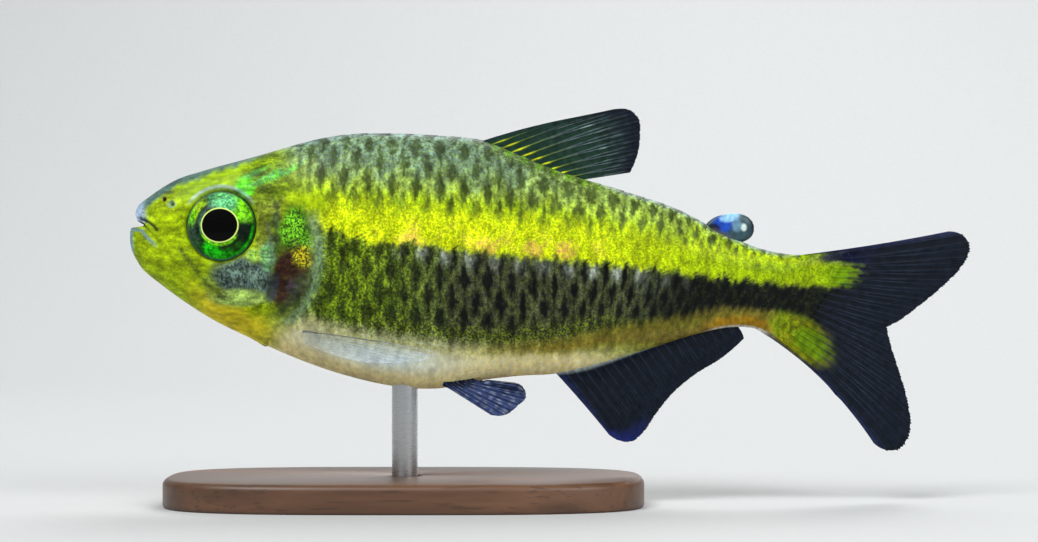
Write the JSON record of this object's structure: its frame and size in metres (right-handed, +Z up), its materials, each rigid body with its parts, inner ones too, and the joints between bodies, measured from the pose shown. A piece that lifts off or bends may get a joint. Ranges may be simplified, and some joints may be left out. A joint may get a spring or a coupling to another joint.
{
  "type": "green-eyed moenkhausia display model",
  "caption": "Small slender characin with large green eyes, deep belly and forked tail, swimming, held by a short steel rod on an oval walnut base.",
  "frame": {"origin": "centre of the underside of the stand's base, under the rod's axis", "axes": "+X from the fish's head to its tail, +Z up, -Y out of the fish's left flank, the one that the picture shows"},
  "size_m": [0.066, 0.021, 0.0306],
  "materials": {
    "head_skin": "moist scaled skin, acid yellow-green with fine dark speckle",
    "body_skin": "moist scaled skin, chartreuse stripe over a black net of scale edges",
    "fin": "clear grey-blue membrane over dark rays",
    "adipose": "clear blue flesh",
    "eye": "wet, black pupil in a metallic green iris",
    "walnut": "oiled, satin",
    "steel": "brushed"
  },
  "bodies": {
    "root": {"head": "head_skin", "lower_jaw": "head_skin", "gill_cover_left": "head_skin", "gill_cover_right": "head_skin", "eye_left": "eye", "eye_right": "eye", "torso": "body_skin", "tail": "body_skin", "dorsal_fin": "fin", "adipose_fin": "adipose", "anal_fin": "fin", "tail_fin_upper_lobe": "fin", "tail_fin_lower_lobe": "fin", "pectoral_fin_left": "fin", "pectoral_fin_right": "fin", "pelvic_fin_left": "fin", "pelvic_fin_right": "fin", "stand_base": "walnut", "stand_rod": "steel"}
  },
  "joints": []
}
